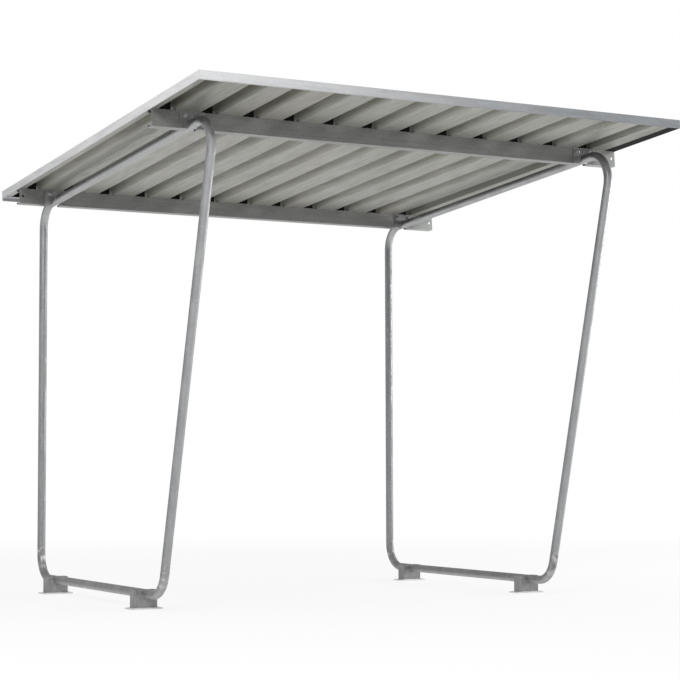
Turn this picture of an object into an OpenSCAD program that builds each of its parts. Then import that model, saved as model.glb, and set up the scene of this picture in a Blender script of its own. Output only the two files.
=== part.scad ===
// Bike shelter: two closed end frames of bent round tube carry two cold-rolled
// beams and a single-pitch roof of trapezoidal steel sheet.
// Origin: on the ground, in the middle of the roof's outline. +X right, -Y front, +Z up.

/* [End frames] */
// Distance between the two end frames, tube axis to tube axis
frame_spacing = 2150; // [1400:10:3000]
// Outer diameter of the frame tube
tube_d = 42.4; // [33.7:0.1:60.3]
// Wall thickness of the frame tube
tube_wall = 2.6; // [2:0.1:4]
// Bend radius at the four corners of a frame, to the tube axis
bend_r = 130; // [90:1:160]
// Height of the rear top corner, to the tube axis
rear_h = 2059; // [1600:1:2600]
// Level distance from the rear upright to the front top corner
top_reach = 2218; // [1800:1:2700]
// Level distance from the rear upright to the front bottom corner
base_reach = 1645; // [1200:1:2100]
// Height of the base rail, to the tube axis
rail_z = 72; // [60:1:120]

/* [Feet] */
// Width of a foot box, across the rail
foot_w = 120; // [80:1:160]
// Length of a foot box, along the rail
foot_l = 60; // [50:1:120]
// Wall thickness of a foot box
foot_wall = 4; // [3:0.5:8]
// Outer radius of the rounded upright edges of a foot box
foot_corner_r = 10; // [9:0.5:15]
// How far a foot box stays below the top of the rail
foot_drop = 4; // [0:0.5:12]
// How far a base plate stands out on each side of the foot box, across the rail
plate_side = 20; // [18:1:60]
// How far a base plate stands out in front of and behind the foot box
plate_end = 10; // [0:1:40]
// Thickness of a base plate
plate_t = 6; // [4:0.5:12]
// Distance from the side of the foot box to the middle of an anchor hole
anchor_out = 10; // [8:0.5:12]
// Diameter of an anchor hole
anchor_d = 11; // [8:0.5:14]
// Straight rail between the rear bend and the rear foot
rear_foot_gap = 65; // [10:1:300]
// Straight rail between the front bend and the front foot
front_foot_gap = 92; // [10:1:300]

/* [Beams] */
// Height of a beam
beam_h = 80; // [70:1:120]
// Depth of a beam, along the slope
beam_flange = 45; // [35:1:60]
// Depth of the stiffening lips of a beam
beam_lip = 12; // [8:1:18]
// Sheet thickness of a beam
beam_t = 2; // [1.5:0.1:3]
// Distance along the rail from the rear bend to the rear beam
rear_beam_gap = 13; // [5:1:300]
// Distance along the rail from the front bend to the front beam
front_beam_gap = 67; // [5:1:300]
// Gap beside and above the rail where a beam is cut out round it
notch_gap = 6; // [3:0.5:10]
// Diameter of the joining hole near each end of a beam
end_hole_d = 13; // [9:0.5:18]
// Distance of the joining hole from the end of the beam
end_hole_in = 20; // [15:1:40]

/* [Beam brackets] */
// Width of a bracket plate
bracket_w = 120; // [100:1:160]
// Thickness of a bracket plate
bracket_t = 4; // [3:0.5:8]
// Distance between the two bolts of a bracket
bracket_bolt_spacing = 70; // [60:1:80]
// Distance of the bolts below the top of the beam
bracket_bolt_down = 20; // [15:1:25]
// Diameter of the bolt holes in brackets and beams
bracket_hole_d = 11; // [9:0.5:13]

/* [Roof] */
// Slope of the roof and of the top rails, in degrees
slope = 4.05; // [2:0.05:8]
// How far the roof reaches past each end frame, to the tube axis
side_overhang = 200; // [140:1:400]
// How far the roof reaches past the front top corner, along the slope
front_overhang = 280; // [60:1:400]
// How far the roof reaches past the rear top corner, along the slope
rear_overhang = 100; // [60:1:300]
// Thickness of the roof sheet
sheet_t = 0.75; // [0.6:0.05:1.2]
// Distance between the ribs of the sheet
rib_pitch = 207; // [180:1:250]
// Height of a rib
rib_h = 35; // [25:1:45]
// Width of the flat crown of a rib
rib_crown = 40; // [30:1:50]
// Width of a rib at its foot
rib_foot = 88; // [80:1:110]
// Distance from the left edge of the roof to the middle of the first rib
first_rib = 78; // [56:1:120]
// How far one sheet reaches over the crown of the next, past its middle
side_lap = 12; // [5:1:14]
// Width of the foot of a support block under a rib
block_w = 40; // [30:1:60]
// Width of the top of a support block
block_top_w = 34; // [20:1:36]
// Length of a support block, along the slope
block_l = 40; // [20:1:44]

/* [Edge trims] */
// Sheet thickness of the edge trims
trim_t = 1; // [0.8:0.1:1.5]
// Depth of the front trim's top leg
fascia_top = 60; // [30:1:100]
// Depth of the front trim's bottom return
fascia_return = 12; // [8:1:20]
// How far a side trim's top leg reaches past the crown of the first rib
verge_lap = 3; // [0:1:40]
// How far the side trims hang below the sheet
verge_drop = 2; // [0:0.5:10]
// Depth of the rear drip trim's leg under the sheet
drip_leg = 60; // [30:1:90]
// How far the rear drip trim hangs below the sheet
drip_drop = 14; // [8:1:30]

/* [Fits] */
// Gap between pieces that lie together
fit_gap = 0.3; // [0.1:0.05:0.5]
// Gap between a beam's end and the side trim
end_gap = 2; // [1:0.5:10]

/* [Hidden] */
$fn = 48;
tube_r = tube_d / 2;
cut = 1;                                   // how far a cutting shape runs past the metal

// Roof levels, square to the slope, from the axis of the top rail
beam_bottom = -tube_r;
beam_top = beam_bottom + beam_h;
beam_middle = (beam_bottom + beam_top) / 2;
lap_rise = sheet_t + fit_gap;              // a lapping crown lies this much higher
crown_top = beam_top + rib_h + lap_rise + sheet_t;
trim_inner = crown_top + fit_gap;
trim_outer = trim_inner + trim_t;

// Roof edges; along the slope from the rear top corner, negative is towards the front
roof_w = frame_spacing + 2 * side_overhang;
roof_front = -top_reach / cos(slope) - front_overhang;
roof_rear = rear_overhang;
roof_l = roof_rear - roof_front;
verge_top = first_rib + rib_crown / 2 + verge_lap;

// Rear upright's place, which puts the origin under the middle of the roof's outline
fascia_bottom = beam_top - fit_gap - trim_t;
rear_y = -((roof_front + roof_rear) * cos(slope) + (fascia_bottom + beam_top + rib_h) * sin(slope)) / 2;

// Corners of an end frame in its own plane: [y, z]
rear_bottom = [rear_y, rail_z];
rear_top = [rear_y, rear_h];
front_top = [rear_y - top_reach, rear_h + top_reach * tan(slope)];
front_bottom = [rear_y - base_reach, rail_z];

function unit(v) = v / norm(v);
function turn(a, b) = acos(unit(a) * unit(b));
function tangent(before, at, after) = bend_r * tan(turn(at - before, after - at) / 2);

// Lengths from the corners to the ends of their bends
rear_top_t = tangent(rear_bottom, rear_top, front_top);
front_top_t = tangent(rear_top, front_top, front_bottom);
rear_bottom_t = tangent(front_bottom, rear_bottom, rear_top);
front_bottom_t = tangent(front_top, front_bottom, rear_bottom);

// Beams along the slope: each value is the beam's front face
rear_beam_at = -rear_top_t - rear_beam_gap - beam_flange;
front_beam_at = -top_reach / cos(slope) + front_top_t + front_beam_gap;
beam_l = roof_w - 2 * (trim_t + end_gap);

// Feet
rear_foot_y = rear_y - rear_bottom_t - rear_foot_gap - foot_l / 2;
front_foot_y = rear_y - base_reach + front_bottom_t + front_foot_gap + foot_l / 2;
plate_w = foot_w + 2 * plate_side;
plate_l = foot_l + 2 * plate_end;
anchor_spacing = foot_w + 2 * anchor_out;
foot_top = rail_z + tube_r - foot_drop;

// Ribs, and the two ribs on which the sheets lap: the left sheet is the offcut
first_x = first_rib - roof_w / 2;
last_rib = ceil((roof_w - first_rib + rib_foot / 2) / rib_pitch) - 1;
last_full_rib = floor((roof_w - first_rib - rib_foot / 2) / rib_pitch);
left_lap = floor(last_rib / 6);
right_lap = left_lap + ceil((last_rib - left_lap) / 2);
flank_run = (rib_foot - rib_crown) / 2;
flank_angle = atan(rib_h / flank_run);
miter = sheet_t * tan(flank_angle / 2);
sheet_edge = roof_w / 2 - trim_t - fit_gap;

// ---- Frame tube ----

module tube_ring() {
    difference() {
        circle(d = tube_d);
        circle(d = tube_d - 2 * tube_wall);
    }
}

// Turns a drawing in X and Y into the frame's plane: X becomes Y and Y becomes Z
module frame_plane() {
    rotate([90, 0, 90]) children();
}

// Point on the way from corner a to corner b, a given distance from a
function along_from(a, b, distance) = a + unit(b - a) * distance;

// Straight tube along X
module straight_tube(length) {
    rotate([0, 90, 0]) linear_extrude(length) tube_ring();
}

// Bend that leaves the origin along X and turns left
module bent_tube(angle) {
    translate([0, bend_r, 0])
        rotate([0, 0, -90])
            rotate_extrude(angle = angle, $fn = 96)
                translate([bend_r, 0]) tube_ring();
}

// Places a tube that starts at point a of the frame's plane and points to b
module tube_run(a, b) {
    run = b - a;
    frame_plane()
        translate([a[0], a[1], 0])
            rotate([0, 0, atan2(run[1], run[0])]) children();
}

module rear_upright() {
    a = along_from(rear_bottom, rear_top, rear_bottom_t);
    b = along_from(rear_top, rear_bottom, rear_top_t);
    color("silver") tube_run(a, b) straight_tube(norm(b - a));
}

module front_upright() {
    a = along_from(front_top, front_bottom, front_top_t);
    b = along_from(front_bottom, front_top, front_bottom_t);
    color("silver") tube_run(a, b) straight_tube(norm(b - a));
}

// Straight rail from a to b that goes on round the bend at each end
module bent_rail(a, b, start_angle, end_angle) {
    color("silver")
        tube_run(a, b) {
            straight_tube(norm(b - a));
            mirror([1, 0, 0]) bent_tube(start_angle);
            translate([norm(b - a), 0, 0]) bent_tube(end_angle);
        }
}

module base_rail() {
    bent_rail(along_from(front_bottom, rear_bottom, front_bottom_t),
              along_from(rear_bottom, front_bottom, rear_bottom_t),
              turn(front_bottom - front_top, rear_bottom - front_bottom),
              turn(rear_bottom - front_bottom, rear_top - rear_bottom));
}

module top_rail() {
    bent_rail(along_from(rear_top, front_top, rear_top_t),
              along_from(front_top, rear_top, front_top_t),
              turn(rear_top - rear_bottom, front_top - rear_top),
              turn(front_top - rear_top, front_bottom - front_top));
}

// ---- Feet ----

// Block with rounded upright edges
module rounded_block(width, length, height, r) {
    translate([-width / 2 + r, -length / 2, 0]) cube([width - 2 * r, length, height]);
    translate([-width / 2, -length / 2 + r, 0]) cube([width, length - 2 * r, height]);
    for (x = [-1, 1])
        for (y = [-1, 1])
            translate([x * (width / 2 - r), y * (length / 2 - r), 0]) cylinder(r = r, h = height);
}

// Upright length of rectangular tube; its front and rear walls are cut to cradle the rail
module foot_box(y) {
    cradle_d = tube_d + 2 * fit_gap;
    height = foot_top - plate_t;
    color("darkgray")
        translate([0, y, 0])
            difference() {
                translate([0, 0, plate_t]) rounded_block(foot_w, foot_l, height, foot_corner_r);
                translate([0, 0, plate_t - cut])
                    rounded_block(foot_w - 2 * foot_wall, foot_l - 2 * foot_wall, height + 2 * cut,
                                  foot_corner_r - foot_wall);
                translate([0, foot_l / 2 + cut, rail_z])
                    rotate([90, 0, 0]) cylinder(d = cradle_d, h = foot_l + 2 * cut);
                translate([-cradle_d / 2, -foot_l / 2 - cut, rail_z])
                    cube([cradle_d, foot_l + 2 * cut, foot_top - rail_z + cut]);
            }
}

module base_plate(y) {
    color("darkgray")
        translate([0, y, 0])
            difference() {
                translate([-plate_w / 2, -plate_l / 2, 0]) cube([plate_w, plate_l, plate_t]);
                for (side = [-1, 1])
                    translate([side * anchor_spacing / 2, 0, -cut])
                        cylinder(d = anchor_d, h = plate_t + 2 * cut);
            }
}

// ---- Beams and brackets, drawn on the slope ----

// Y runs down the slope to the rear from the rear top corner, Z is square to the slope
module on_slope() {
    translate([0, rear_y, rear_h]) rotate([-slope, 0, 0]) children();
}

// Cut-out open at the bottom, with a round top round the rail
module rail_notch(gap, at, depth) {
    notch_d = tube_d + 2 * gap;
    translate([0, at + depth + cut, 0]) rotate([90, 0, 0]) cylinder(d = notch_d, h = depth + 2 * cut);
    translate([-notch_d / 2, at - cut, beam_bottom - cut]) cube([notch_d, depth + 2 * cut, tube_r + cut]);
}

module bracket_bolt_holes(at, depth) {
    for (side = [-1, 1])
        translate([side * bracket_bolt_spacing / 2, at + depth + cut, beam_top - bracket_bolt_down])
            rotate([90, 0, 0]) cylinder(d = bracket_hole_d, h = depth + 2 * cut);
}

// Lipped channel: flat web to the front, lips to the rear
module beam(at) {
    color("gray")
        on_slope()
            difference() {
                translate([-beam_l / 2, at, beam_bottom]) cube([beam_l, beam_flange, beam_h]);
                translate([-beam_l / 2 - cut, at + beam_t, beam_bottom + beam_t])
                    cube([beam_l + 2 * cut, beam_flange - 2 * beam_t, beam_h - 2 * beam_t]);
                translate([-beam_l / 2 - cut, at + beam_flange - beam_t - cut, beam_bottom + beam_lip])
                    cube([beam_l + 2 * cut, beam_t + 2 * cut, beam_h - 2 * beam_lip]);
                for (side = [-1, 1]) {
                    translate([side * frame_spacing / 2, 0, 0]) {
                        rail_notch(notch_gap, at, beam_flange);
                        bracket_bolt_holes(at, beam_t);
                    }
                    translate([side * (beam_l / 2 - end_hole_in), at + beam_t + cut, beam_middle])
                        rotate([90, 0, 0]) cylinder(d = end_hole_d, h = beam_t + 2 * cut);
                }
            }
}

// Plate on the front of a beam's web, welded round the rail and bolted to the web
module bracket(beam_at) {
    at = beam_at - bracket_t;
    color("darkgray")
        on_slope()
            difference() {
                translate([-bracket_w / 2, at, beam_bottom]) cube([bracket_w, bracket_t, beam_h]);
                rail_notch(fit_gap, at, bracket_t);
                bracket_bolt_holes(at, bracket_t);
            }
}

// ---- Roof sheet ----

function rib_x(i) = first_x + i * rib_pitch;

// Up and down flanks of a rib, drawn to height h; grow widens it for the sheet's upper side
function flank_up(x, h, grow, lift) =
    [[x - rib_foot / 2 - grow, lift],
     [x - rib_foot / 2 + flank_run * h / rib_h - grow, lift + h]];
function flank_down(x, h, grow, lift) =
    [[x + rib_foot / 2 - flank_run * h / rib_h + grow, lift + h],
     [x + rib_foot / 2 + grow, lift]];

// One side of a sheet from rib "first" to rib "last"; its right-hand crown laps over the next sheet
function sheet_line(first, last, open_left, open_right, grow, lift) = concat(
    open_left ? [[rib_x(first) - rib_pitch, lift]]
              : concat([[rib_x(first) - side_lap, lift + rib_h]],
                       flank_down(rib_x(first), rib_h, grow, lift)),
    [for (i = [open_left ? first : first + 1 : 1 : open_right ? last : last - 1])
        for (p = concat(flank_up(rib_x(i), rib_h, grow, lift), flank_down(rib_x(i), rib_h, grow, lift))) p],
    open_right ? [[rib_x(last) + rib_pitch, lift]]
               : concat(flank_up(rib_x(last), rib_h + lap_rise, grow, lift),
                        [[rib_x(last) + side_lap, lift + rib_h + lap_rise]]));

function reversed(list) = [for (i = [len(list) - 1 : -1 : 0]) list[i]];

module roof_sheet(first, last, open_left = false, open_right = false) {
    sheet_front = roof_front + trim_t + fit_gap;
    color("lightgray")
        on_slope()
            intersection() {
                translate([0, roof_rear - trim_t - fit_gap, beam_top])
                    rotate([90, 0, 0])
                        linear_extrude(roof_rear - trim_t - fit_gap - sheet_front)
                            polygon(concat(sheet_line(first, last, open_left, open_right, 0, 0),
                                           reversed(sheet_line(first, last, open_left, open_right,
                                                               miter, sheet_t))));
                translate([-sheet_edge, sheet_front - cut, beam_top - cut])
                    cube([2 * sheet_edge, roof_l, rib_h + 2 * lap_rise + 2 * cut]);
            }
}

// Blocks on a beam that hold up the crowns where the sheet is screwed down
module rib_blocks(beam_at) {
    height = rib_h - fit_gap;
    color("black")
        on_slope()
            for (i = [0 : last_full_rib])
                translate([rib_x(i), beam_at + (beam_flange + block_l) / 2, beam_top])
                    rotate([90, 0, 0])
                        linear_extrude(block_l)
                            polygon([[-block_w / 2, 0], [block_w / 2, 0],
                                     [block_top_w / 2, height], [-block_top_w / 2, height]]);
}

// ---- Edge trims ----

// Channel that caps the front edge of the sheets, between the side trims
module front_trim() {
    half_w = roof_w / 2 - trim_t - fit_gap;
    color("gainsboro")
        on_slope()
            translate([-half_w, 0, 0])
                rotate([90, 0, 90])
                    linear_extrude(2 * half_w)
                        polygon([[roof_front, fascia_bottom],
                                 [roof_front + fascia_return, fascia_bottom],
                                 [roof_front + fascia_return, fascia_bottom + trim_t],
                                 [roof_front + trim_t, fascia_bottom + trim_t],
                                 [roof_front + trim_t, trim_inner],
                                 [roof_front + fascia_top, trim_inner],
                                 [roof_front + fascia_top, trim_outer],
                                 [roof_front, trim_outer]]);
}

// Angle over a side edge of the roof; its top leg stops short of the front trim's
module side_trim(side) {
    leg_front = roof_front + fascia_top + fit_gap;
    bottom = beam_top - verge_drop;
    color("gainsboro")
        on_slope()
            mirror([side < 0 ? 1 : 0, 0, 0]) {
                translate([roof_w / 2 - trim_t, roof_front, bottom])
                    cube([trim_t, roof_l, trim_outer - bottom]);
                translate([roof_w / 2 - verge_top, leg_front, trim_inner])
                    cube([verge_top, roof_rear - leg_front, trim_t]);
            }
}

// Angle under the rear ends of the sheets that sheds the rain
module rear_drip_trim() {
    half_w = roof_w / 2 - trim_t - fit_gap;
    top = beam_top - fit_gap;
    color("gainsboro")
        on_slope()
            translate([-half_w, 0, 0])
                rotate([90, 0, 90])
                    linear_extrude(2 * half_w)
                        polygon([[roof_rear - drip_leg, top],
                                 [roof_rear, top],
                                 [roof_rear, top - drip_drop],
                                 [roof_rear - trim_t, top - drip_drop],
                                 [roof_rear - trim_t, top - trim_t],
                                 [roof_rear - drip_leg, top - trim_t]]);
}

// ---- Assembly ----

module at_frame(side) {
    translate([side * frame_spacing / 2, 0, 0]) children();
}

at_frame(-1) rear_upright();  // left_rear_upright
at_frame(-1) front_upright();  // left_front_upright
at_frame(-1) base_rail();  // left_base_rail
at_frame(-1) top_rail();  // left_top_rail
at_frame(1) rear_upright();  // right_rear_upright
at_frame(1) front_upright();  // right_front_upright
at_frame(1) base_rail();  // right_base_rail
at_frame(1) top_rail();  // right_top_rail
at_frame(-1) foot_box(rear_foot_y);  // left_rear_foot
at_frame(-1) foot_box(front_foot_y);  // left_front_foot
at_frame(1) foot_box(rear_foot_y);  // right_rear_foot
at_frame(1) foot_box(front_foot_y);  // right_front_foot
at_frame(-1) base_plate(rear_foot_y);  // left_rear_base_plate
at_frame(-1) base_plate(front_foot_y);  // left_front_base_plate
at_frame(1) base_plate(rear_foot_y);  // right_rear_base_plate
at_frame(1) base_plate(front_foot_y);  // right_front_base_plate
beam(front_beam_at);  // front_beam
beam(rear_beam_at);  // rear_beam
at_frame(-1) bracket(front_beam_at);  // left_front_bracket
at_frame(1) bracket(front_beam_at);  // right_front_bracket
at_frame(-1) bracket(rear_beam_at);  // left_rear_bracket
at_frame(1) bracket(rear_beam_at);  // right_rear_bracket
rib_blocks(front_beam_at);  // front_rib_blocks
rib_blocks(rear_beam_at);  // rear_rib_blocks
roof_sheet(0, left_lap, open_left = true);  // roof_sheet_left
roof_sheet(left_lap, right_lap);  // roof_sheet_middle
roof_sheet(right_lap, last_rib, open_right = true);  // roof_sheet_right
front_trim();
side_trim(-1);  // left_trim
side_trim(1);  // right_trim
rear_drip_trim();
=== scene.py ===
"""Bike shelter: finishes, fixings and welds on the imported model, with its stage.

Everything is in metres: X runs along the shelter, -Y is its open front and Z is up.
"""
import math

import bmesh
import bpy
from mathutils import Matrix, Vector


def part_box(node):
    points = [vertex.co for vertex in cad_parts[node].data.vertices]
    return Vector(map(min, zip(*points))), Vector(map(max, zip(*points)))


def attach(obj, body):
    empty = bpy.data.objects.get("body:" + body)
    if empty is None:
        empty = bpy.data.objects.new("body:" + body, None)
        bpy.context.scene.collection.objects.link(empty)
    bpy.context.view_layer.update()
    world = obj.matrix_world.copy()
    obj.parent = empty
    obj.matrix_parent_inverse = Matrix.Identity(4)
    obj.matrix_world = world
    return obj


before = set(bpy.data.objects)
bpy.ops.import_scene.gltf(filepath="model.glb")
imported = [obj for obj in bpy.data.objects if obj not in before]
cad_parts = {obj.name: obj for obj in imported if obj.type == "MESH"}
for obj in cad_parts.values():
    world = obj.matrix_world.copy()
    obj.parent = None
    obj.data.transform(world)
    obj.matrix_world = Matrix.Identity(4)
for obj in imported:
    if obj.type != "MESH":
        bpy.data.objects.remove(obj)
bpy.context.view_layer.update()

SIDES = (("left", -1), ("right", 1))
ENDS = ("front", "rear")
ROOF_SLOPE = math.radians(4.05)
REAR_CORNER_HEIGHT = 2.059
TUBE_RADIUS = 0.0212
RAIL_GAP = 0.0003
# heights over the beam top where the painted shade in the ribs starts and where it is full
BEAM_TOP = 0.0588
RIB_SHADE_START = BEAM_TOP + 0.001
RIB_SHADE_FULL = BEAM_TOP + 0.022
# corner about which the underside of the roof gets painted shade
SHADE_CORNER = (-1.275, -1.3, 2.3)


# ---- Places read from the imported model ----

def middle(node):
    """Middle of a node's box."""
    low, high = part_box(node)
    return (low + high) / 2


rear_corner = Vector((0, middle("left_rear_upright").y, REAR_CORNER_HEIGHT))
on_slope = Matrix.Translation(rear_corner) @ Matrix.Rotation(-ROOF_SLOPE, 4, "X")


def slope_box(node):
    """Lowest and highest corner of a node, measured along and square to the roof."""
    to_slope = on_slope.inverted()
    points = [to_slope @ vertex.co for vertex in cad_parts[node].data.vertices]
    low = Vector([min(point[axis] for point in points) for axis in range(3)])
    high = Vector([max(point[axis] for point in points) for axis in range(3)])
    return low, high


# ---- Node and group helpers ----

def fill_inputs(tree, made, inputs):
    """Links each socket that is given, and sets each plain value."""
    for key, value in inputs.items():
        if isinstance(value, bpy.types.NodeSocket):
            tree.links.new(value, made.inputs[key])
        else:
            made.inputs[key].default_value = value


def add_node(tree, kind, inputs=None, **settings):
    """Adds a node, sets its properties, and fills or links its inputs."""
    made = tree.nodes.new(kind)
    for key, value in settings.items():
        setattr(made, key, value)
    fill_inputs(tree, made, inputs or {})
    return made


def new_group(name, inputs, outputs):
    """Makes a node group with float or vector sockets; gives its tree, entry and exit."""
    tree = bpy.data.node_groups.new(name, "ShaderNodeTree")
    kinds = {"float": "NodeSocketFloat", "vector": "NodeSocketVector"}
    for label, kind, default in inputs:
        socket = tree.interface.new_socket(name=label, in_out="INPUT", socket_type=kinds[kind])
        if default is not None:
            socket.default_value = default
    for label, kind in outputs:
        tree.interface.new_socket(name=label, in_out="OUTPUT", socket_type=kinds[kind])
    return tree, tree.nodes.new("NodeGroupInput"), tree.nodes.new("NodeGroupOutput")


def use_group(tree, group, inputs):
    """Places a node group in a material with its own values."""
    made = tree.nodes.new("ShaderNodeGroup")
    made.node_tree = group
    fill_inputs(tree, made, inputs)
    return made


def math_node(tree, operation, first, second):
    made = add_node(tree, "ShaderNodeMath", {0: first, 1: second}, operation=operation)
    return made.outputs[0]


def times(tree, first, second):
    return math_node(tree, "MULTIPLY", first, second)


def plus(tree, first, second):
    return math_node(tree, "ADD", first, second)


def mix_color(tree, factor, first, second):
    """Blends two colours; 6 and 7 are the Mix node's colour inputs, 2 is its colour output."""
    made = add_node(tree, "ShaderNodeMix", data_type="RGBA", blend_type="MIX")
    fill_inputs(tree, made, {0: factor, 6: first, 7: second})
    return made.outputs[2]


def tint(tree, color, tone, mask, amount):
    """Mixes a tone into a colour where the mask is, up to a given amount."""
    return mix_color(tree, times(tree, mask, amount), color, tone)


def map_range(tree, value, low, high, to_low=0.0, to_high=1.0):
    """Smooth step of a value from one range to another."""
    made = add_node(
        tree,
        "ShaderNodeMapRange",
        {0: value, 1: low, 2: high, 3: to_low, 4: to_high},
        interpolation_type="SMOOTHSTEP",
    )
    return made.outputs[0]


def noise(tree, place, scale, detail):
    inputs = {"Vector": place, "Scale": scale, "Detail": detail}
    return add_node(tree, "ShaderNodeTexNoise", inputs).outputs["Fac"]


def axis_value(tree, vector, axis):
    """One coordinate of a vector."""
    return add_node(tree, "ShaderNodeSeparateXYZ", {0: vector}).outputs[axis]


def surface_normal(tree):
    return tree.nodes.new("ShaderNodeNewGeometry").outputs["Normal"]


# ---- Shared surface effects ----

def make_spangle():
    """Zinc crystals: each cell has its own brightness and a slightly raised middle."""
    warp_scale = 45.0
    warp_size = 0.012
    grain_scale = 420.0
    cell_share = 0.8
    tree, entry, leave = new_group(
        "zinc_spangle",
        [("Vector", "vector", None), ("Scale", "float", 60.0), ("Feather", "float", 0.5)],
        [("Cell", "float"), ("Height", "float")],
    )
    place = entry.outputs["Vector"]
    warp = add_node(
        tree,
        "ShaderNodeTexNoise",
        {"Vector": place, "Scale": warp_scale, "Detail": 2.0},
    )
    bend = add_node(
        tree,
        "ShaderNodeVectorMath",
        {0: warp.outputs["Color"], "Scale": warp_size},
        operation="SCALE",
    )
    bent = add_node(
        tree,
        "ShaderNodeVectorMath",
        {0: place, 1: bend.outputs[0]},
        operation="ADD",
    ).outputs[0]
    cells = add_node(
        tree,
        "ShaderNodeTexVoronoi",
        {"Vector": bent, "Scale": entry.outputs["Scale"]},
        feature="F1",
    )
    shade = add_node(tree, "ShaderNodeSeparateColor", {0: cells.outputs["Color"]}).outputs[0]
    grain = noise(tree, bent, scale=grain_scale, detail=3.0)
    feather = times(tree, grain, entry.outputs["Feather"])
    tree.links.new(plus(tree, times(tree, shade, cell_share), feather), leave.inputs["Cell"])
    tree.links.new(cells.outputs["Distance"], leave.inputs["Height"])
    return tree


def make_stain():
    """Cloudy patches with soft borders; the vector's stretch sets their direction."""
    tree, entry, leave = new_group(
        "weather_stain",
        [
            ("Vector", "vector", None),
            ("Scale", "float", 3.0),
            ("Start", "float", 0.45),
            ("End", "float", 0.7),
            ("Detail", "float", 6.0),
        ],
        [("Mask", "float")],
    )
    cloud = add_node(
        tree,
        "ShaderNodeTexNoise",
        {
            "Vector": entry.outputs["Vector"],
            "Scale": entry.outputs["Scale"],
            "Detail": entry.outputs["Detail"],
            "Roughness": 0.6,
        },
    )
    start = entry.outputs["Start"]
    mask = map_range(tree, cloud.outputs["Fac"], low=start, high=entry.outputs["End"])
    tree.links.new(mask, leave.inputs["Mask"])
    return tree


def make_scratch():
    """Thin broken scratches that run mostly along the stretched axis."""
    tree, entry, leave = new_group(
        "handling_scratch",
        [("Vector", "vector", None), ("Scale", "float", 30.0), ("Amount", "float", 0.5)],
        [("Mask", "float")],
    )
    place = entry.outputs["Vector"]
    line = noise(tree, place, scale=entry.outputs["Scale"], detail=8.0)
    breaks = noise(tree, place, scale=3.0, detail=2.0)
    sharp = map_range(tree, line, low=0.63, high=0.68)
    parts = map_range(tree, breaks, low=0.5, high=0.62)
    mask = times(tree, times(tree, sharp, parts), entry.outputs["Amount"])
    tree.links.new(mask, leave.inputs["Mask"])
    return tree


def make_splash():
    """Dirt thrown up from the ground: strongest at the floor, ragged at its top."""
    ragged_height = 0.16
    full_height = 0.06
    tree, entry, leave = new_group(
        "ground_splash",
        [("Vector", "vector", None), ("Top", "float", 0.35)],
        [("Mask", "float")],
    )
    place = entry.outputs["Vector"]
    rag = noise(tree, place, scale=28.0, detail=6.0)
    height = plus(tree, axis_value(tree, place, "Z"), times(tree, rag, ragged_height))
    fade = map_range(tree, height, low=entry.outputs["Top"], high=full_height)
    tree.links.new(times(tree, fade, rag), leave.inputs["Mask"])
    return tree


SPANGLE = make_spangle()
STAIN = make_stain()
SCRATCH = make_scratch()
SPLASH = make_splash()


def spangle(tree, place, scale, feather):
    """Cell brightness and relief of the zinc crystals."""
    made = use_group(tree, SPANGLE, {"Vector": place, "Scale": scale, "Feather": feather})
    return made.outputs["Cell"], made.outputs["Height"]


def stain(tree, place, scale, start, end):
    """Mask of cloudy patches; start and end are the noise levels of their border."""
    inputs = {"Vector": place, "Scale": scale, "Start": start, "End": end}
    return use_group(tree, STAIN, inputs).outputs["Mask"]


def scratches(tree, place, scale, amount):
    inputs = {"Vector": place, "Scale": scale, "Amount": amount}
    return use_group(tree, SCRATCH, inputs).outputs["Mask"]


def splashes(tree, place, top):
    return use_group(tree, SPLASH, {"Vector": place, "Top": top}).outputs["Mask"]


# ---- Material helpers ----

def tone(red, green, blue):
    return (red, green, blue, 1)


def grey(level):
    return tone(level, level, level)


def zinc_grey(level):
    """Zinc's faintly cool grey at a given level."""
    return tone(level, level * 1.01, level * 1.025)


def new_material(name):
    """A node material with its Principled shader and the surface's own coordinates."""
    material = bpy.data.materials.new(name)
    material.use_nodes = True
    tree = material.node_tree
    shader = tree.nodes["Principled BSDF"]
    place = tree.nodes.new("ShaderNodeTexCoord").outputs["Object"]
    return material, tree, shader, place


def stretched(tree, place, scale):
    """The coordinates scaled by axis, so that a pattern runs along the smallest scale."""
    return add_node(tree, "ShaderNodeMapping", {"Vector": place, "Scale": scale}).outputs[0]


def set_color(tree, shader, color):
    tree.links.new(color, shader.inputs["Base Color"])


def drive(tree, shader, name, mask, without, within):
    """Sets a shader input by a mask: its value without the mask and within it."""
    value = map_range(tree, mask, low=0.0, high=1.0, to_low=without, to_high=within)
    tree.links.new(value, shader.inputs[name])


def set_bump(tree, shader, height, strength, distance):
    bump = add_node(
        tree,
        "ShaderNodeBump",
        {"Height": height, "Strength": strength, "Distance": distance},
    )
    tree.links.new(bump.outputs[0], shader.inputs["Normal"])


def looks_down(tree, full):
    """Mask of the surfaces that look down; it is complete where the normal's Z is full."""
    upward = axis_value(tree, surface_normal(tree), "Z")
    return map_range(tree, upward, low=0.1, high=full)


# ---- Tube, plate and beam zinc ----

def bend_blotches(tree, place):
    """Masks of bright and of dark blotches low on the tubes, just above the feet."""
    bright_amount = 0.7
    dark_amount = 0.6
    height = axis_value(tree, place, "Z")
    below_top = map_range(tree, height, low=0.27, high=0.2)
    above_foot = map_range(tree, height, low=0.094, high=0.11)
    low = times(tree, below_top, above_foot)
    cloud = noise(tree, place, scale=38.0, detail=7.0)
    bright = times(tree, map_range(tree, cloud, low=0.5, high=0.72), low)
    dark_blotch = times(tree, map_range(tree, cloud, low=0.46, high=0.3), low)
    return times(tree, bright, bright_amount), times(tree, dark_blotch, dark_amount)


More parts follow.
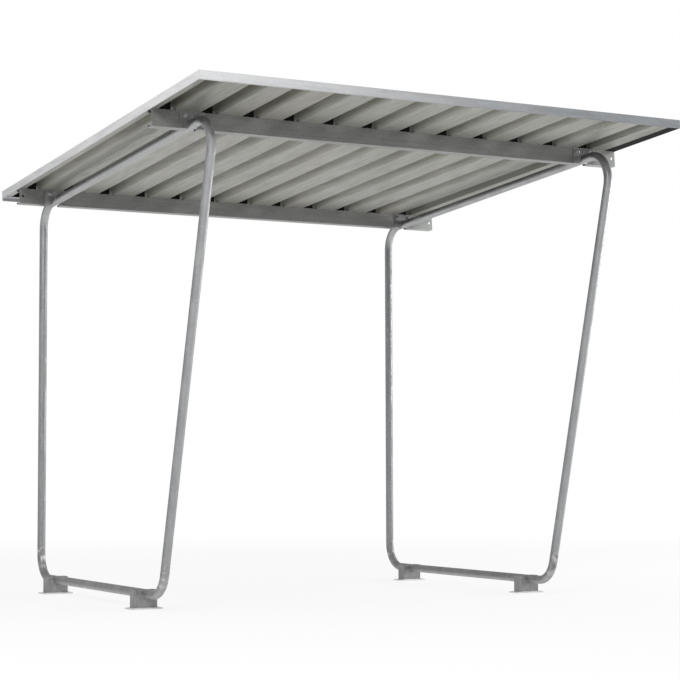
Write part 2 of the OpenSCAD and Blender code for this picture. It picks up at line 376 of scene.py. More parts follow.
def tube_zinc():
    """Hot-dip galvanised tube: small spangle, soft runs along the tube, dull patches, painted
    light on its undersides.
    """
    cell_dark = tone(0.235, 0.238, 0.245)
    cell_light = tone(0.315, 0.32, 0.328)
    run_tone = tone(0.185, 0.188, 0.195)
    dull_tone = tone(0.35, 0.355, 0.36)
    painted_underside_light = tone(0.50, 0.505, 0.51)
    low_bright_tone = grey(0.78)
    low_dark_tone = grey(0.10)
    scratch_tone = tone(0.58, 0.585, 0.59)
    dirt_tone = tone(0.25, 0.235, 0.21)
    material, tree, shader, place = new_material("tube_zinc")
    cell, height = spangle(tree, place, scale=85.0, feather=0.45)
    runs = stain(tree, stretched(tree, place, (1, 1, 0.12)), scale=45.0, start=0.42, end=0.62)
    dull = stain(tree, place, scale=7.0, start=0.48, end=0.66)
    scratch = scratches(tree, stretched(tree, place, (1, 1, 0.3)), scale=160.0, amount=0.5)
    splash = splashes(tree, place, top=0.5)
    bright, dark_blotch = bend_blotches(tree, place)
    color = mix_color(tree, cell, cell_dark, cell_light)
    color = tint(tree, color, run_tone, runs, amount=0.5)
    color = tint(tree, color, dull_tone, dull, amount=0.4)
    # painted light: faces that look down are made paler, as where the floor lights the rails
    color = mix_color(tree, looks_down(tree, full=-0.65), color, painted_underside_light)
    color = mix_color(tree, bright, color, low_bright_tone)
    color = mix_color(tree, dark_blotch, color, low_dark_tone)
    color = mix_color(tree, scratch, color, scratch_tone)
    color = tint(tree, color, dirt_tone, splash, amount=0.5)
    set_color(tree, shader, color)
    rough = map_range(tree, cell, low=0.0, high=1.0, to_low=0.42, to_high=0.54)
    rough = plus(tree, rough, times(tree, dull, 0.2))
    rough = plus(tree, rough, times(tree, splash, 0.3))
    tree.links.new(rough, shader.inputs["Roughness"])
    drive(tree, shader, "Metallic", dull, without=0.92, within=0.62)
    relief = plus(tree, height, times(tree, runs, 0.8))
    set_bump(tree, shader, relief, strength=0.25, distance=0.0008)
    return material


def plate_zinc(name, cell_dark, cell_light, clouded):
    """Galvanised plate: duller than the tube, with thick matt runs; tones as grey levels."""
    run_tone = zinc_grey(cell_dark * 0.85)
    dirt_tone = tone(cell_dark, cell_dark * 0.94, cell_dark * 0.85)
    material, tree, shader, place = new_material(name)
    cell, height = spangle(tree, place, scale=110.0, feather=0.6)
    cloud = stain(tree, place, scale=22.0, start=0.4, end=0.65)
    runs = stain(tree, stretched(tree, place, (1, 1, 0.2)), scale=60.0, start=0.45, end=0.6)
    splash = splashes(tree, place, top=0.3)
    color = mix_color(tree, cell, zinc_grey(cell_dark), zinc_grey(cell_light))
    color = tint(tree, color, zinc_grey(clouded), cloud, amount=0.6)
    color = tint(tree, color, run_tone, runs, amount=0.4)
    color = tint(tree, color, dirt_tone, splash, amount=0.4)
    set_color(tree, shader, color)
    rough = map_range(tree, cloud, low=0.0, high=1.0, to_low=0.42, to_high=0.6)
    rough = plus(tree, rough, times(tree, splash, 0.25))
    tree.links.new(rough, shader.inputs["Roughness"])
    drive(tree, shader, "Metallic", cloud, without=0.8, within=0.45)
    set_bump(tree, shader, plus(tree, height, runs), strength=0.3, distance=0.001)
    return material


def beam_zinc():
    """Cold-rolled strip: fine even spangle, rolling lines along it, painted light on the
    right-hand ends.
    """
    cell_dark = tone(0.262, 0.262, 0.26)
    cell_light = tone(0.325, 0.325, 0.322)
    line_tone = tone(0.20, 0.20, 0.198)
    dull_tone = tone(0.40, 0.40, 0.395)
    end_light_tone = tone(0.52, 0.54, 0.52)
    material, tree, shader, place = new_material("beam_zinc")
    cell, height = spangle(tree, place, scale=140.0, feather=0.4)
    lines = stain(tree, stretched(tree, place, (0.02, 1, 1)), scale=150.0, start=0.42, end=0.6)
    dull = stain(tree, stretched(tree, place, (0.35, 1, 1)), scale=9.0, start=0.45, end=0.7)
    color = mix_color(tree, cell, cell_dark, cell_light)
    color = tint(tree, color, line_tone, lines, amount=0.3)
    color = tint(tree, color, dull_tone, dull, amount=0.45)
    # painted light on the right-hand ends of the beams, out past the roof's shade
    across = axis_value(tree, place, "X")
    end_light = map_range(tree, across, low=1.09, high=1.2, to_low=0.0, to_high=0.55)
    color = mix_color(tree, end_light, color, end_light_tone)
    set_color(tree, shader, color)
    drive(tree, shader, "Roughness", lines, without=0.34, within=0.46)
    drive(tree, shader, "Metallic", dull, without=0.85, within=0.6)
    relief = plus(tree, times(tree, height, 0.5), lines)
    set_bump(tree, shader, relief, strength=0.12, distance=0.0005)
    return material


# ---- Roof sheet and edge trim ----

def painted_rib_shade(tree, place):
    """Painted shade inside the ribs, on the underside, deeper towards the crown."""
    turned = add_node(
        tree,
        "ShaderNodeMapping",
        {
            "Vector": place,
            "Location": on_slope.inverted().translation,
            "Rotation": (ROOF_SLOPE, 0, 0),
        },
    )
    height = axis_value(tree, turned.outputs[0], "Z")
    depth = map_range(tree, height, low=RIB_SHADE_START, high=RIB_SHADE_FULL)
    cloud = noise(tree, stretched(tree, place, (1, 0.15, 1)), scale=14.0, detail=5.0)
    broken = map_range(tree, cloud, low=0.25, high=0.6, to_low=0.6, to_high=1.0)
    return times(tree, times(tree, depth, looks_down(tree, full=-0.1)), broken)


def underside_shade(tree, place, to_corner):
    """Shade under the sheet at its right-hand edge and about the front left corner."""
    across = axis_value(tree, place, "X")
    by_edge = map_range(tree, across, low=0.98, high=1.08, to_low=0.0, to_high=0.35)
    by_corner = map_range(tree, to_corner, low=0.35, high=1.15, to_low=0.24, to_high=0.0)
    return times(tree, plus(tree, by_edge, by_corner), looks_down(tree, full=-0.1))


def roof_coat():
    """Aluminium-zinc coated roof sheet: dull warm grey with rolling lines down the slope."""
    cell_dark = tone(0.345, 0.345, 0.315)
    cell_light = tone(0.405, 0.405, 0.375)
    line_tone = tone(0.30, 0.30, 0.265)
    damp_tone = tone(0.27, 0.275, 0.22)
    warm_tone = tone(0.44, 0.39, 0.365)
    shade_tone = tone(0.13, 0.13, 0.112)
    rib_shade_tone = tone(0.105, 0.105, 0.075)
    material, tree, shader, place = new_material("roof_coat")
    cell, height = spangle(tree, place, scale=170.0, feather=0.5)
    lines = stain(tree, stretched(tree, place, (1, 0.03, 1)), scale=70.0, start=0.4, end=0.64)
    damp = stain(tree, stretched(tree, place, (1, 0.4, 1)), scale=2.6, start=0.46, end=0.66)
    warm = stain(tree, stretched(tree, place, (1.2, 0.5, 1)), scale=1.7, start=0.5, end=0.7)
    to_corner = add_node(
        tree,
        "ShaderNodeVectorMath",
        {0: place, 1: SHADE_CORNER},
        operation="DISTANCE",
    ).outputs["Value"]
    color = mix_color(tree, cell, cell_dark, cell_light)
    color = tint(tree, color, line_tone, lines, amount=0.3)
    color = tint(tree, color, damp_tone, damp, amount=0.35)
    color = tint(tree, color, warm_tone, warm, amount=0.35)
    color = mix_color(tree, underside_shade(tree, place, to_corner), color, shade_tone)
    # painted shade in the ribs, strongest about the front left corner
    share = map_range(tree, to_corner, low=0.3, high=1.5, to_low=0.97, to_high=0.52)
    color = tint(tree, color, rib_shade_tone, painted_rib_shade(tree, place), amount=share)
    set_color(tree, shader, color)
    drive(tree, shader, "Roughness", lines, without=0.4, within=0.52)
    drive(tree, shader, "Metallic", damp, without=0.55, within=0.35)
    relief = plus(tree, times(tree, height, 0.4), lines)
    set_bump(tree, shader, relief, strength=0.1, distance=0.0005)
    return material


def trim_painted_shade(tree, place):
    """Share of painted shade on the trim: little on the left side, more along the front to the
    right and on faces turned to the right.
    """
    cloud = noise(tree, place, scale=2.2, detail=4.0)
    sideways = axis_value(tree, surface_normal(tree), "X")
    across = axis_value(tree, place, "X")
    reach = plus(tree, across, times(tree, axis_value(tree, place, "Y"), 0.35))
    reach = plus(tree, reach, times(tree, sideways, 0.45))
    reach = plus(tree, reach, times(tree, cloud, 0.5))
    return map_range(tree, reach, low=-2.5, high=0.7)


def trim_coat():
    """Folded edge trim: zinc with painted light on the left side and painted shade along the front
    to the right, with handling marks along it.
    """
    lit_dark = tone(0.73, 0.73, 0.735)
    lit_light = tone(0.81, 0.81, 0.815)
    shaded_dark = tone(0.25, 0.262, 0.275)
    shaded_light = tone(0.31, 0.323, 0.338)
    lit_streak = tone(0.60, 0.60, 0.61)
    shaded_streak = tone(0.23, 0.24, 0.255)
    lit_mark = grey(0.85)
    shaded_mark = tone(0.45, 0.46, 0.47)
    material, tree, shader, place = new_material("trim_coat")
    cell, height = spangle(tree, place, scale=95.0, feather=0.5)
    lines = stain(tree, stretched(tree, place, (0.15, 0.15, 1)), scale=30.0, start=0.42, end=0.62)
    scratch = scratches(tree, stretched(tree, place, (0.3, 0.3, 1)), scale=120.0, amount=0.4)
    shade_share = trim_painted_shade(tree, place)
    lit = mix_color(tree, cell, lit_dark, lit_light)
    shaded = mix_color(tree, cell, shaded_dark, shaded_light)
    # painted light on the left side, painted shade to the right
    color = mix_color(tree, shade_share, lit, shaded)
    streaks = mix_color(tree, shade_share, lit_streak, shaded_streak)
    color = tint(tree, color, streaks, lines, amount=0.5)
    marks = mix_color(tree, shade_share, lit_mark, shaded_mark)
    color = mix_color(tree, scratch, color, marks)
    set_color(tree, shader, color)
    drive(tree, shader, "Roughness", lines, without=0.48, within=0.62)
    drive(tree, shader, "Metallic", cell, without=0.35, within=0.5)
    set_bump(tree, shader, height, strength=0.15, distance=0.0005)
    return material


# ---- Small parts' materials ----

def bolt_zinc():
    """Zinc-plated fastener: brighter and smoother than the dipped steel, with grime in it."""
    material, tree, shader, place = new_material("bolt_zinc")
    grime = stain(tree, place, scale=260.0, start=0.45, end=0.65)
    set_color(tree, shader, mix_color(tree, grime, tone(0.56, 0.57, 0.58), tone(0.34, 0.34, 0.33)))
    drive(tree, shader, "Roughness", grime, without=0.24, within=0.45)
    drive(tree, shader, "Metallic", grime, without=0.95, within=0.75)
    set_bump(tree, shader, grime, strength=0.1, distance=0.0003)
    return material


def weld_zinc():
    """Weld bead under zinc: rippled by its mesh, with a rough bright skin."""
    material, tree, shader, place = new_material("weld_zinc")
    skin = stain(tree, place, scale=180.0, start=0.4, end=0.65)
    cell, _ = spangle(tree, place, scale=150.0, feather=0.4)
    color = mix_color(tree, skin, tone(0.26, 0.265, 0.27), tone(0.38, 0.385, 0.39))
    color = tint(tree, color, tone(0.19, 0.19, 0.195), cell, amount=0.3)
    set_color(tree, shader, color)
    drive(tree, shader, "Roughness", skin, without=0.38, within=0.55)
    drive(tree, shader, "Metallic", skin, without=0.85, within=0.7)
    set_bump(tree, shader, skin, strength=0.3, distance=0.0006)
    return material


def washer_rubber():
    """Black sealing rubber, chalked a little by the weather."""
    material, tree, shader, place = new_material("washer_rubber")
    chalk = stain(tree, place, scale=300.0, start=0.45, end=0.7)
    color = mix_color(tree, chalk, tone(0.02, 0.02, 0.021), tone(0.075, 0.075, 0.073))
    set_color(tree, shader, color)
    drive(tree, shader, "Roughness", chalk, without=0.6, within=0.85)
    set_bump(tree, shader, chalk, strength=0.2, distance=0.0003)
    return material


def block_plastic():
    """Black moulded plastic with a fine grain and patches of dust."""
    material, tree, shader, place = new_material("block_plastic")
    grain = noise(tree, place, scale=900.0, detail=3.0)
    dust = stain(tree, place, scale=90.0, start=0.5, end=0.75)
    set_color(tree, shader, mix_color(tree, dust, grey(0.006), tone(0.016, 0.016, 0.015)))
    drive(tree, shader, "Roughness", dust, without=0.7, within=0.9)
    shader.inputs["Specular IOR Level"].default_value = 0.12
    set_bump(tree, shader, grain, strength=0.15, distance=0.0003)
    return material


TUBE = tube_zinc()
PLATE = plate_zinc("plate_zinc", cell_dark=0.22, cell_light=0.30, clouded=0.36)
# lit copy of the plate zinc for the base plates: their much paler grey is painted light
LIT_PLATE = plate_zinc("lit_plate_zinc", cell_dark=0.60, cell_light=0.72, clouded=0.80)
BEAM = beam_zinc()
SHEET = roof_coat()
TRIM = trim_coat()
BOLT = bolt_zinc()
WELD = weld_zinc()
RUBBER = washer_rubber()
BLOCK = block_plastic()


# ---- CAD nodes: finishes ----

def finish_node(node, material):
    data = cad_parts[node].data
    data.materials.clear()
    data.materials.append(material)


def finish_frames():
    for side, _ in SIDES:
        for part in ("rear_upright", "front_upright", "base_rail", "top_rail"):
            finish_node(f"{side}_{part}", TUBE)
        for end in ENDS:
            finish_node(f"{side}_{end}_foot", PLATE)
            finish_node(f"{side}_{end}_bracket", PLATE)
            finish_node(f"{side}_{end}_base_plate", LIT_PLATE)


def finish_roof():
    for end in ENDS:
        finish_node(f"{end}_beam", BEAM)
        finish_node(f"{end}_rib_blocks", BLOCK)
    for place in ("left", "middle", "right"):
        finish_node(f"roof_sheet_{place}", SHEET)
    for trim in ("front_trim", "left_trim", "right_trim", "rear_drip_trim"):
        finish_node(trim, TRIM)


# ---- Mesh helpers ----

SMOOTH_LIMIT = math.radians(35)
WASHER_STEPS = 32
HEXAGON_STEPS = 48
BOLT_STEPS = 24
SCREW_STEPS = 16
WASHER_EASE = 0.2
CHAMFER_FLATS = 0.475
CHAMFER_DROP = 0.6
BEAD_SIDES = 8
BEAD_SWELL = 0.13
BEAD_END = 0.4


def add_piece(name, mesh_data, material):
    """Turns a bmesh into a piece of the shelter with its finish and slot."""
    bmesh.ops.recalc_face_normals(mesh_data, faces=mesh_data.faces)
    mesh = bpy.data.meshes.new(name)
    mesh_data.to_mesh(mesh)
    mesh_data.free()
    mesh.materials.append(material)
    mesh.set_sharp_from_angle(angle=SMOOTH_LIMIT)
    piece = bpy.data.objects.new(name, mesh)
    bpy.context.scene.collection.objects.link(piece)
    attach(piece, "root")


def ray_at(angle):
    """Direction at an angle in the XY plane."""
    return Vector((math.cos(angle), math.sin(angle), 0))


def upright_ray(angle):
    """Direction at an angle in the XZ plane."""
    return Vector((math.cos(angle), 0, math.sin(angle)))


def skin_rings(mesh_data, rings, closed=False):
    """Faces between neighbouring rings, with caps unless they close up; gives the sides."""
    count = len(rings[0])
    pairs = list(zip(rings, rings[1:]))
    if closed:
        pairs.append((rings[-1], rings[0]))
    sides = []
    for lower, upper in pairs:
        for step in range(count):
            after = (step + 1) % count
            corners = (lower[step], lower[after], upper[after], upper[step])
            sides.append(mesh_data.faces.new(corners))
    if not closed:
        mesh_data.faces.new(list(reversed(rings[0])))
        mesh_data.faces.new(rings[-1])
    return sides


def add_turned(mesh_data, place, profile, outline, steps):
    """Solid turned about Z from (radius, height) pairs; outline scales a radius by angle."""
    rings = []
    for radius, height in profile:
        ring = []
        for step in range(steps):
            angle = 2 * math.pi * step / steps
            reach = radius * outline(angle, radius)
            spot = Vector((reach * math.cos(angle), reach * math.sin(angle), height))
            ring.append(mesh_data.verts.new(place @ spot))
        rings.append(ring)
    skin_rings(mesh_data, rings)
    for face in mesh_data.faces:
        face.smooth = True


def round_outline(angle, radius):
    return 1.0


def hexagon_outline(flats):
    """Outline of a hexagon across its flats; a smaller radius stays round, as a chamfer does."""
    def outline(angle, radius):
        sector = (angle + math.pi / 6) % (math.pi / 3) - math.pi / 6
        limit = flats / 2 / math.cos(sector)
        return min(1.0, limit / radius)
    return outline


def add_washer(mesh_data, place, base, inner, outer, thickness):
    """Flat ring with a slightly eased rim."""
    ease = thickness * WASHER_EASE
    profile = [
        (inner, base),
        (outer - ease, base),
        (outer, base + ease),
        (outer, base + thickness - ease),
        (outer - ease, base + thickness),
        (inner, base + thickness),
    ]
    add_turned(mesh_data, place, profile, round_outline, WASHER_STEPS)


def add_hexagon(mesh_data, place, base, flats, height, both_ends=False):
    """Hexagon head or nut with its corners turned off at the free end, or at both."""
    corner = flats / 2 / math.cos(math.pi / 6)
    chamfer = flats * CHAMFER_FLATS
    ease = (corner - flats / 2) * CHAMFER_DROP
    profile = [(corner, base), (corner, base + height - ease), (chamfer, base + height)]
    if both_ends:
        profile = [(chamfer, base), (corner, base + ease)] + profile[1:]
    add_turned(mesh_data, place, profile, hexagon_outline(flats), HEXAGON_STEPS)


def add_bead(mesh_data, points, ups, radius, closed):
    """Weld bead swept along points; ups point out of the corner that it fills."""
    count = len(points)
    rings = []
    for index, point in enumerate(points):
        before = points[index - 1] if closed or index > 0 else point
        after = points[(index + 1) % count] if closed or index < count - 1 else point
        along = (after - before).normalized()
        up = (ups[index] - along * ups[index].dot(along)).normalized()
        across = along.cross(up)
        swell = 1.0 + BEAD_SWELL * math.sin(BEAD_RIPPLE * index)
        if not closed and index in (0, count - 1):
            swell = BEAD_END
        ring = []
        for side in range(BEAD_SIDES):
            angle = 2 * math.pi * side / BEAD_SIDES
            offset = across * math.cos(angle) + up * math.sin(angle)
            ring.append(mesh_data.verts.new(point + offset * radius * swell))
        rings.append(ring)
    for face in skin_rings(mesh_data, rings, closed):
        face.smooth = True


def spaced(start, end, step):
    """Points from start to end, about a step apart, without the last one."""
    count = max(2, round((end - start).length / step))
    return [start.lerp(end, index / count) for index in range(count)]


# ---- Bracket bolts ----

BOLT_SPACING = 0.07
BOLT_DOWN = 0.02
BOLT_RADIUS = 0.005
HEAD_FLATS = 0.016
HEAD_HEIGHT = 0.0064
NUT_HEIGHT = 0.0084
WASHER_RADIUS = 0.01
WASHER_THICKNESS = 0.002
THREAD_END = 0.004
TIP_SHARE = 0.8
BEAM_THICKNESS = 0.002


def bolt_places(side, end):
    """A bracket's two bolts: each one's place on the front face, and the plate's thickness."""
    bracket_low, bracket_high = slope_box(f"{side}_{end}_bracket")
    to_front = Matrix.Rotation(math.pi / 2, 4, "X")
    middle_x = (bracket_low.x + bracket_high.x) / 2
    for offset in (-BOLT_SPACING / 2, BOLT_SPACING / 2):
        spot = Vector((middle_x + offset, bracket_low.y, bracket_high.z - BOLT_DOWN))
        yield on_slope @ Matrix.Translation(spot) @ to_front, bracket_high.y - bracket_low.y


def add_bolt(bolts, place, plate):
    """Hexagon bolt through a bracket plate and the beam, with a washer each side and a nut."""
    inside = -plate - BEAM_THICKNESS - WASHER_THICKNESS
    nut = inside - NUT_HEIGHT
    for base in (0.0, inside):
        add_washer(bolts, place, base, BOLT_RADIUS, WASHER_RADIUS, WASHER_THICKNESS)
    add_hexagon(bolts, place, WASHER_THICKNESS, HEAD_FLATS, HEAD_HEIGHT)
    add_hexagon(bolts, place, nut, HEAD_FLATS, NUT_HEIGHT, both_ends=True)
    shank = [
        (BOLT_RADIUS * TIP_SHARE, nut - THREAD_END),
        (BOLT_RADIUS, nut - THREAD_END * TIP_SHARE),
        (BOLT_RADIUS, WASHER_THICKNESS),
    ]
    add_turned(bolts, place, shank, round_outline, BOLT_STEPS)


def bracket_bolts():
    """Two bolts in each bracket; the nuts sit inside the beam."""
    for side, _ in SIDES:
        for end in ENDS:
            bolts = bmesh.new()
            for place, plate in bolt_places(side, end):
                add_bolt(bolts, place, plate)
            add_piece(f"{side}_{end}_bracket_bolts", bolts, BOLT)


# ---- Welds ----

BEAD_STEP = 0.0012
BEAD_RIPPLE = 2.1
FOOT_BEAD = 0.0032
FOOT_DROP = 0.004
FOOT_CORNER = 0.01
FOOT_CORNER_STEPS = 12
CRADLE_STEPS = 60
RAIL_BEAD = 0.0028
BRACKET_STEPS = 72
BRACKET_OVERRUN = 0.1
BEAD_REACH = TUBE_RADIUS + RAIL_GAP


def box_outline(low, high, radius):
    """Points round the foot of a box with rounded corners, and directions out of its corner."""
    rise = Vector((0, 0, 1))
    points = []
    ups = []
    corners = (
        (high.x - radius, high.y - radius, 0.0),
        (low.x + radius, high.y - radius, math.pi / 2),
        (low.x + radius, low.y + radius, math.pi),
        (high.x - radius, low.y + radius, 1.5 * math.pi),
    )
    for index, (x, y, start) in enumerate(corners):
        for step in range(FOOT_CORNER_STEPS + 1):
            ray = ray_at(start + math.pi / 2 * step / FOOT_CORNER_STEPS)
            points.append(Vector((x, y, low.z)) + ray * radius)
            ups.append(ray + rise)
        next_x, next_y, next_start = corners[(index + 1) % 4]
        ray = ray_at(next_start)
        after = Vector((next_x, next_y, low.z)) + ray * radius
        for point in spaced(points[-1], after, BEAD_STEP)[1:]:
            points.append(point)
            ups.append(ray + rise)
    return points, ups


def add_cradle_bead(welds, centre, outward):
    """Bead under the rail, in the half-round cut of one foot wall."""
    points = []
    ups = []
    for step in range(CRADLE_STEPS + 1):
        ray = upright_ray(math.pi + math.pi * step / CRADLE_STEPS)
        points.append(centre + ray * BEAD_REACH)
        ups.append(Vector((0, outward, 0)) + ray)
    add_bead(welds, points, ups, RAIL_BEAD, closed=False)


def foot_welds():
    """Fillet round each foot box on its base plate, and along the cradle under the rail."""
    for side, _ in SIDES:
        for end in ENDS:
            low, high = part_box(f"{side}_{end}_foot")
            welds = bmesh.new()
            points, ups = box_outline(low, high, FOOT_CORNER)
            add_bead(welds, points, ups, FOOT_BEAD, closed=True)
            middle_x = (low.x + high.x) / 2
            rail_z = high.z + FOOT_DROP - TUBE_RADIUS
            for wall_y, outward in ((low.y, -1), (high.y, 1)):
                add_cradle_bead(welds, Vector((middle_x, wall_y, rail_z)), outward)
            add_piece(f"{side}_{end}_foot_welds", welds, WELD)


def bracket_welds():
    """Bead over the top half of the rail on the front of each bracket plate."""
    turn = math.pi + 2 * BRACKET_OVERRUN
    for side, _ in SIDES:
        for end in ENDS:
            low, high = slope_box(f"{side}_{end}_bracket")
            centre = Vector(((low.x + high.x) / 2, low.y, 0))
            points = []
            ups = []
            for step in range(BRACKET_STEPS + 1):
                ray = upright_ray(-BRACKET_OVERRUN + turn * step / BRACKET_STEPS)
                points.append(on_slope @ (centre + ray * BEAD_REACH))
                ups.append(on_slope.to_3x3() @ (Vector((0, -1, 0)) + ray))
            welds = bmesh.new()
            add_bead(welds, points, ups, RAIL_BEAD, closed=False)
            add_piece(f"{side}_{end}_bracket_weld", welds, WELD)


# ---- Roof fixings ----

RIB_PITCH = 0.207
FIRST_RIB = 0.078
RIB_COUNT = 12
LAP_RIBS = (2, 7)
RIB_HEIGHT = 0.035
SHEET_THICKNESS = 0.00075
LAP_GAP = 0.0003
SCREW_RADIUS = 0.00275
SCREW_FLATS = 0.008
SCREW_HEIGHT = 0.005
SCREW_DEPTH = 0.056
POINT_RADIUS = 0.0006
POINT_LENGTH = 0.005
POINT_SHOULDER = SCREW_RADIUS * 0.85
THREAD_START = 0.006
THREAD_PITCH = 0.0018
THREAD_ROOT = SCREW_RADIUS * 0.75
LAP_SCREW_DEPTH = 0.018
LAP_SCREW_INSET = 0.12
LAP_SCREW_SHARES = (0.2, 0.4, 0.6, 0.8)
SEAL_RADIUS = 0.008
SEAL_OUTER = SEAL_RADIUS * 0.95
SEAL_THICKNESS = 0.0018
DISH_RIM = 0.0004
DISH_HEIGHT = 0.0011
DISH_CROWN = SEAL_RADIUS * 0.6


def rib_x(index):
    """Middle of a rib across the roof."""
    roof_half = slope_box("right_trim")[1].x
    return FIRST_RIB - roof_half + index * RIB_PITCH


def add_screw(metal, rubber, place, depth):
    """Self-drilling roof screw: rubber seal, pressed washer, hexagon head and a drill point."""
    head = SEAL_THICKNESS + DISH_HEIGHT
    add_washer(rubber, place, 0.0, SCREW_RADIUS, SEAL_OUTER, SEAL_THICKNESS)
    dish = [
        (SCREW_RADIUS, SEAL_THICKNESS),
        (SEAL_RADIUS, SEAL_THICKNESS),
        (SEAL_RADIUS, SEAL_THICKNESS + DISH_RIM),
        (DISH_CROWN, head),
        (SCREW_RADIUS, head),
    ]
    add_turned(metal, place, dish, round_outline, WASHER_STEPS)
    add_hexagon(metal, place, head, SCREW_FLATS, SCREW_HEIGHT)
    shank = [(POINT_RADIUS, -depth), (POINT_SHOULDER, -depth + POINT_LENGTH)]
    for turn in range(int((depth - THREAD_START) / THREAD_PITCH)):
        base = -depth + THREAD_START + turn * THREAD_PITCH
        shank.append((THREAD_ROOT, base))
        shank.append((SCREW_RADIUS, base + THREAD_PITCH / 2))
    shank.append((SCREW_RADIUS, SEAL_THICKNESS))
    add_turned(metal, place, shank, round_outline, SCREW_STEPS)


def middle_along(node):
    """Middle of a node along the slope."""
    low, high = slope_box(node)
    return (low.y + high.y) / 2


def crown_level(rib):
    """Top of the metal on a rib's crown; laps and the left trim lie over some of them."""
    if rib == 0:
        return slope_box("left_trim")[1].z
    level = slope_box("front_beam")[1].z + RIB_HEIGHT + SHEET_THICKNESS
    if rib in LAP_RIBS:
        level += SHEET_THICKNESS + LAP_GAP
    return level


def add_screws(name, ribs, places, depth):
    """Screws at the given places along each of the given ribs, as metal and as seals."""
    metal = bmesh.new()
    rubber = bmesh.new()
    for rib in ribs:
        for along in places:
            spot = Vector((rib_x(rib), along, crown_level(rib)))
            add_screw(metal, rubber, on_slope @ Matrix.Translation(spot), depth)
    add_piece(f"{name}s", metal, BOLT)
    add_piece(f"{name}_seals", rubber, RUBBER)


def roof_screws():
    """One screw through every crown over each beam, held by the support block below."""
    for end in ENDS:
        along = middle_along(f"{end}_rib_blocks")
        name = f"{end}_roof_screw"
        add_screws(name, range(RIB_COUNT), [along], SCREW_DEPTH)


def lap_screws():
    """Short stitching screws along the crowns where one sheet laps over the next."""
    front = middle_along("front_rib_blocks")
    rear = middle_along("rear_rib_blocks")
    places = [slope_box("roof_sheet_middle")[0].y + LAP_SCREW_INSET]
    places += [front + (rear - front) * share for share in LAP_SCREW_SHARES]
    add_screws("lap_screw", LAP_RIBS, places, LAP_SCREW_DEPTH)


# ---- Foam fillers and strip ----

RIB_FOOT = 0.088
RIB_CROWN = 0.040
FILLER_DEPTH = 0.018
FILLER_PLAY = 0.0012
FILLER_SETBACK = 0.012
FILLER_LIFT = 0.0002
FILLER_EASE = 0.001
FILLER_SHOULDER = 0.003
FILLER_DROP = 0.0008
FILLER_HEIGHT = RIB_HEIGHT - FILLER_DROP
FILLER_SECTIONS = (
    (0.0, FILLER_EASE),
    (FILLER_EASE, 0.0),
    (FILLER_DEPTH - FILLER_EASE, 0.0),
    (FILLER_DEPTH, FILLER_EASE),
)
STRIP_WIDE_INSET = 0.058
STRIP_EDGE_INSET = 0.0016
STRIP_LEG = 0.0018
STRIP_STEP = 0.015
STRIP_FRONT_INSET = 0.014
STRIP_REAR_INSET = 0.002
STRIP_EASE = 0.0008
STRIP_GAP = 0.0003
STRIP_WAVE = 0.0002
STRIP_WAVE_TURN = 1.7
BEAM_CLEARANCE = 0.001


def filler_profile(base, shrink):
    """Outline of a foam filler in a rib; shrink eases its ends."""
    foot = RIB_FOOT / 2 - FILLER_PLAY - shrink
    crown = RIB_CROWN / 2 - FILLER_PLAY - shrink
    shoulder = crown + FILLER_SHOULDER * (foot - crown) / FILLER_HEIGHT
    top = base + FILLER_HEIGHT - shrink
    return (
        (-foot, base),
        (foot, base),
        (shoulder, top - FILLER_SHOULDER),
        (crown - FILLER_EASE, top),
        (-crown + FILLER_EASE, top),
        (-shoulder, top - FILLER_SHOULDER),
    )


def rib_fillers():
    """Foam profile fillers that close the ribs' rear ends over the drip trim."""
    rear = slope_box("rear_drip_trim")[1].y - FILLER_SETBACK
    base = slope_box("front_beam")[1].z + FILLER_LIFT
    fillers = bmesh.new()
    for rib in range(RIB_COUNT):
        rings = []
        for along, shrink in FILLER_SECTIONS:
            profile = filler_profile(base, shrink)
            spots = [Vector((rib_x(rib) + x, rear - along, z)) for x, z in profile]
            rings.append([fillers.verts.new(on_slope @ spot) for spot in spots])
        skin_rings(fillers, rings)
    add_piece("rear_rib_fillers", fillers, BLOCK)


def add_strip(mesh_data, start, end, edge, pan):
    """One length of strip with slightly wavy sides, under the sheet."""
    inner = edge - STRIP_WIDE_INSET
    outer = edge - STRIP_EDGE_INSET
    rings = []
    count = round((end - start) / STRIP_STEP)
    for index in range(count + 1):
        along = start + (end - start) * index / count
        swell = STRIP_WAVE * math.sin(index * STRIP_WAVE_TURN)
        under = pan - STRIP_LEG - swell
        profile = (
            (inner + swell, pan - STRIP_GAP),
            (inner + STRIP_EASE + swell, under),
            (outer - STRIP_EASE, under),
            (outer, pan - STRIP_EASE),
            (outer, pan - STRIP_GAP),
        )
        spots = [Vector((x, along, z)) for x, z in profile]
        rings.append([mesh_data.verts.new(on_slope @ spot) for spot in spots])
    skin_rings(mesh_data, rings)


def edge_strip():
    """Black strip under the cut right-hand edge of the sheet, broken at the beams."""
    front_low, front_high = slope_box("front_beam")
    rear_low, rear_high = slope_box("rear_beam")
    edge = slope_box("right_trim")[1].x
    start = slope_box("front_trim")[0].y + STRIP_FRONT_INSET
    end = slope_box("rear_drip_trim")[0].y - STRIP_REAR_INSET
    lengths = (
        (start, front_low.y - BEAM_CLEARANCE),
        (front_high.y + BEAM_CLEARANCE, rear_low.y - BEAM_CLEARANCE),
        (rear_high.y + BEAM_CLEARANCE, end),
    )
    seal = bmesh.new()
    for first, last in lengths:
        add_strip(seal, first, last, edge, front_high.z)
    add_piece("right_edge_strip", seal, BLOCK)


# ---- Trim rivets ----

RIVET_RADIUS = 0.0045
RIVET_HEIGHT = 0.0015
RIVET_PIT = 0.0013
RIVET_PIT_FLOOR = 0.0011
RIVET_PIT_LEVEL = RIVET_HEIGHT * 0.4
RIVET_STEPS = 6
FRONT_RIVET_INSET = 0.04
SIDE_RIVETS = 7
SIDE_RIVET_INSET = 0.2
SIDE_RIVET_SHIFT = 0.005
REAR_RIVET_INSET = 0.02
TRIM_THICKNESS = 0.001


